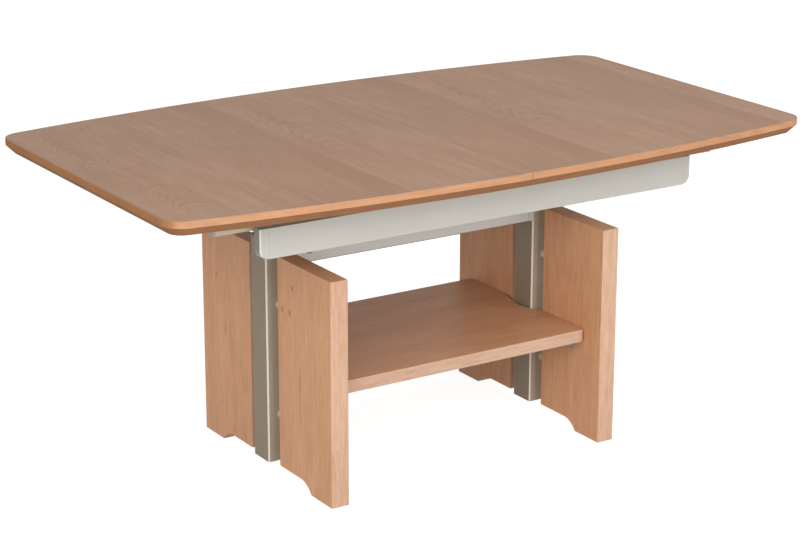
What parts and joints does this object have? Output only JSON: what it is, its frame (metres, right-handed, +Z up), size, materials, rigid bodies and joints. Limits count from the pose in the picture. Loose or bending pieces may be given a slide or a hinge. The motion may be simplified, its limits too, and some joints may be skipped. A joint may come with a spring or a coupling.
{
  "type": "convertible coffee dining table",
  "caption": "Wood and metal coffee table that rises on gas-spring columns to dining height and slides apart to take an insert leaf stored under its top.",
  "frame": {"origin": "on the floor under the middle of the top", "axes": "+X along the top's length, +Y to the back, +Z up"},
  "size_m": [1.2, 0.702, 0.547],
  "materials": {
    "beech_cheek": "satin lacquer, upright grain",
    "beech_shelf": "satin lacquer, lengthwise grain",
    "top_veneer": "satin veneer, grain across the table",
    "top_lipping": "satin solid wood edge",
    "board_core": "particle board with backing veneer",
    "dowel_wood": "plain beech",
    "column_paint": "satin metallic paint",
    "frame_paint": "satin metallic paint",
    "cap_plastic": "satin moulded plastic",
    "rail_aluminium": "anodised",
    "bright_steel": "bright zinc",
    "gear_steel": "machined",
    "zinc_screw": "zinc plated",
    "black_paint": "black satin paint",
    "nylon": "black moulded nylon",
    "glide_plastic": "brown moulded plastic"
  },
  "bodies": {
    "base": {"left_front_cheek": "beech_cheek", "left_rear_cheek": "beech_cheek", "right_front_cheek": "beech_cheek", "right_rear_cheek": "beech_cheek", "cheek_standoffs": "bright_steel", "standoff_studs": "bright_steel", "foot_glides": "glide_plastic", "shelf_brackets": "gear_steel", "shelf_screws": "zinc_screw", "lower_shelf": "beech_shelf", "left_outer_column": "column_paint", "right_outer_column": "column_paint", "column_base_plates": "column_paint", "column_collars": "nylon", "cross_beam": "frame_paint", "beam_end_plates": "frame_paint", "beam_bolts": "zinc_screw", "shaft_bushes": "nylon", "gas_spring_tubes": "black_paint"},
    "lift_frame": {"left_lifting_column": "bright_steel", "right_lifting_column": "bright_steel", "column_glides": "nylon", "lift_racks": "gear_steel", "gas_spring_rods": "bright_steel", "head_plates": "frame_paint", "left_cross_member": "frame_paint", "right_cross_member": "frame_paint", "centre_cross_member": "frame_paint", "frame_screws": "zinc_screw", "front_apron": "frame_paint", "rear_apron": "frame_paint", "apron_end_caps": "cap_plastic", "slide_bars": "rail_aluminium", "bar_posts": "frame_paint", "bar_brackets": "frame_paint", "slide_pads": "nylon", "pinion_bridge": "frame_paint", "pinion_axle": "bright_steel", "leaf_glides": "nylon"},
    "levelling_gear": {"levelling_shaft": "bright_steel", "lift_pinions": "gear_steel"},
    "left_top": {"left_top_core": "board_core", "left_top_lipping": "top_lipping", "left_top_veneer": "top_veneer", "left_runners": "rail_aluminium", "left_top_rack": "gear_steel", "left_top_screws": "zinc_screw", "seam_dowels": "dowel_wood"},
    "right_top": {"right_top_core": "board_core", "right_top_lipping": "top_lipping", "right_top_veneer": "top_veneer", "right_runners": "rail_aluminium", "right_top_rack": "gear_steel", "right_top_screws": "zinc_screw"},
    "top_gear": {"top_pinion": "gear_steel"},
    "release": {"release_lever": "black_paint"},
    "pins": {"release_pins": "bright_steel"},
    "insert_leaf": {"leaf_core": "board_core", "leaf_lipping": "top_lipping", "leaf_veneer": "top_veneer"}
  },
  "joints": [
    {"name": "lift", "type": "slide", "parent": "base", "child": "lift_frame", "axis": [0, 0, 1], "range_m": [0, 0.2]},
    {"name": "levelling_turn", "type": "hinge", "parent": "base", "child": "levelling_gear", "pos_m": [0, 0.005, 0.374], "axis": [1, 0, 0], "range_deg": [0, 1274.2]},
    {"name": "left_slide", "type": "slide", "parent": "lift_frame", "child": "left_top", "axis": [-1, 0, 0], "range_m": [0, 0.18]},
    {"name": "right_slide", "type": "slide", "parent": "lift_frame", "child": "right_top", "axis": [1, 0, 0], "range_m": [0, 0.18]},
    {"name": "top_gear_turn", "type": "hinge", "parent": "lift_frame", "child": "top_gear", "pos_m": [0, 0, 0.514], "axis": [0, 0, 1], "range_deg": [-688.5, 0]},
    {"name": "release_turn", "type": "hinge", "parent": "lift_frame", "child": "release", "pos_m": [0, 0.016, 0.4623], "axis": [1, 0, 0], "range_deg": [0, 10], "stiffness_Nm_per_rad": 2},
    {"name": "pin_press", "type": "slide", "parent": "lift_frame", "child": "pins", "axis": [0, 0, -1], "range_m": [0, 0.003]},
    {"name": "leaf_draw", "type": "slide", "parent": "lift_frame", "child": "insert_leaf", "axis": [1, 0, 0], "range_m": [0, 0.96]}
  ],
  "couplings": [
    {"joint": "levelling_turn", "follows": "lift", "rad_per_m": 111.11},
    {"joint": "right_slide", "follows": "left_slide", "ratio": 1},
    {"joint": "top_gear_turn", "follows": "left_slide", "rad_per_m": -66.667},
    {"joint": "pin_press", "follows": "release_turn", "m_per_rad": 0.016}
  ]
}
